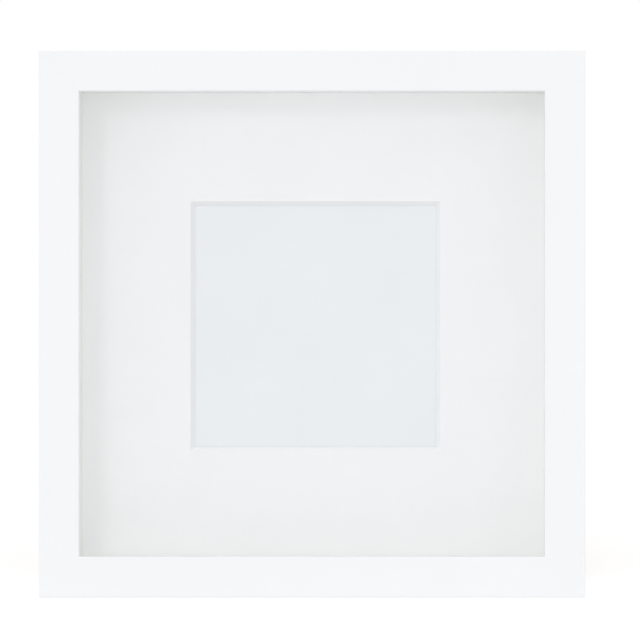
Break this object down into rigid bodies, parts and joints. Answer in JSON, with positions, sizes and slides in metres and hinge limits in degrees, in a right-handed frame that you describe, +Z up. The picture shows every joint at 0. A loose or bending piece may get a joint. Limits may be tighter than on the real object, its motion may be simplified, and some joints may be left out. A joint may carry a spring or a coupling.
{
  "type": "shadow box",
  "caption": "Deep square box frame with a glazed front, a recessed mat with a bevel-cut window, and a back panel held by bendable tabs; it stands on a shelf or hangs from a wire loop.",
  "frame": {"origin": "under the middle of the frame, on the surface it stands on", "axes": "+X to the right seen from the front, +Y from the front to the wall, +Z up"},
  "size_m": [0.25, 0.045, 0.25],
  "materials": {
    "white_rail": "satin",
    "white_spacer": "matte",
    "clear_pane": "polished",
    "mat_paper": "matte",
    "insert_paper": "matte",
    "hardboard": "matte",
    "zinc_steel": "satin",
    "brass_plate": "satin"
  },
  "bodies": {
    "frame": {"top_rail": "white_rail", "bottom_rail": "white_rail", "left_rail": "white_rail", "right_rail": "white_rail", "corner_nails": "zinc_steel", "tab_shanks": "zinc_steel"},
    "pane": {"glazing_pane": "clear_pane"},
    "spacer": {"spacer_top": "white_spacer", "spacer_bottom": "white_spacer", "spacer_left": "white_spacer", "spacer_right": "white_spacer"},
    "mat": {"mat_board": "mat_paper"},
    "insert": {"insert_sheet": "insert_paper"},
    "back": {"back_panel": "hardboard", "hanger_strap": "brass_plate", "hanger_rivet": "brass_plate"},
    "ring": {"hanger_ring": "brass_plate"},
    "bottom_tab_left": {"bottom_tab_left": "zinc_steel"},
    "bottom_tab_right": {"bottom_tab_right": "zinc_steel"},
    "left_tab_lower": {"left_tab_lower": "zinc_steel"},
    "left_tab_upper": {"left_tab_upper": "zinc_steel"},
    "top_tab_left": {"top_tab_left": "zinc_steel"},
    "top_tab_right": {"top_tab_right": "zinc_steel"},
    "right_tab_lower": {"right_tab_lower": "zinc_steel"},
    "right_tab_upper": {"right_tab_upper": "zinc_steel"}
  },
  "joints": [
    {"name": "pane_lift", "type": "slide", "parent": "frame", "child": "pane", "axis": [0, 1, 0], "range_m": [0, 0.06]},
    {"name": "spacer_lift", "type": "slide", "parent": "pane", "child": "spacer", "axis": [0, 1, 0], "range_m": [0, 0.06]},
    {"name": "mat_lift", "type": "slide", "parent": "spacer", "child": "mat", "axis": [0, 1, 0], "range_m": [0, 0.05]},
    {"name": "insert_lift", "type": "slide", "parent": "mat", "child": "insert", "axis": [0, 1, 0], "range_m": [0, 0.05]},
    {"name": "back_lift", "type": "slide", "parent": "insert", "child": "back", "axis": [0, 1, 0], "range_m": [0, 0.05], "deforming": ["bottom_tab_left", "bottom_tab_right", "left_tab_lower", "left_tab_upper", "top_tab_left", "top_tab_right", "right_tab_lower", "right_tab_upper"]},
    {"name": "ring_swing", "type": "hinge", "parent": "back", "child": "ring", "pos_m": [0, 0.0155, 0.205], "axis": [1, 0, 0], "range_deg": [0, 180]},
    {"name": "bottom_tab_left_bend", "type": "hinge", "parent": "frame", "child": "bottom_tab_left", "pos_m": [-0.07, 0.0141, 0.0098], "axis": [-1, 0, 0], "range_deg": [0, 90]},
    {"name": "bottom_tab_right_bend", "type": "hinge", "parent": "frame", "child": "bottom_tab_right", "pos_m": [0.07, 0.0141, 0.0098], "axis": [-1, 0, 0], "range_deg": [0, 90]},
    {"name": "left_tab_lower_bend", "type": "hinge", "parent": "frame", "child": "left_tab_lower", "pos_m": [-0.1152, 0.0141, 0.055], "axis": [0, 0, 1], "range_deg": [0, 90]},
    {"name": "left_tab_upper_bend", "type": "hinge", "parent": "frame", "child": "left_tab_upper", "pos_m": [-0.1152, 0.0141, 0.195], "axis": [0, 0, 1], "range_deg": [0, 90]},
    {"name": "top_tab_left_bend", "type": "hinge", "parent": "frame", "child": "top_tab_left", "pos_m": [-0.07, 0.0141, 0.2402], "axis": [1, 0, 0], "range_deg": [0, 90]},
    {"name": "top_tab_right_bend", "type": "hinge", "parent": "frame", "child": "top_tab_right", "pos_m": [0.07, 0.0141, 0.2402], "axis": [1, 0, 0], "range_deg": [0, 90]},
    {"name": "right_tab_lower_bend", "type": "hinge", "parent": "frame", "child": "right_tab_lower", "pos_m": [0.1152, 0.0141, 0.055], "axis": [0, 0, -1], "range_deg": [0, 90]},
    {"name": "right_tab_upper_bend", "type": "hinge", "parent": "frame", "child": "right_tab_upper", "pos_m": [0.1152, 0.0141, 0.195], "axis": [0, 0, -1], "range_deg": [0, 90]}
  ]
}
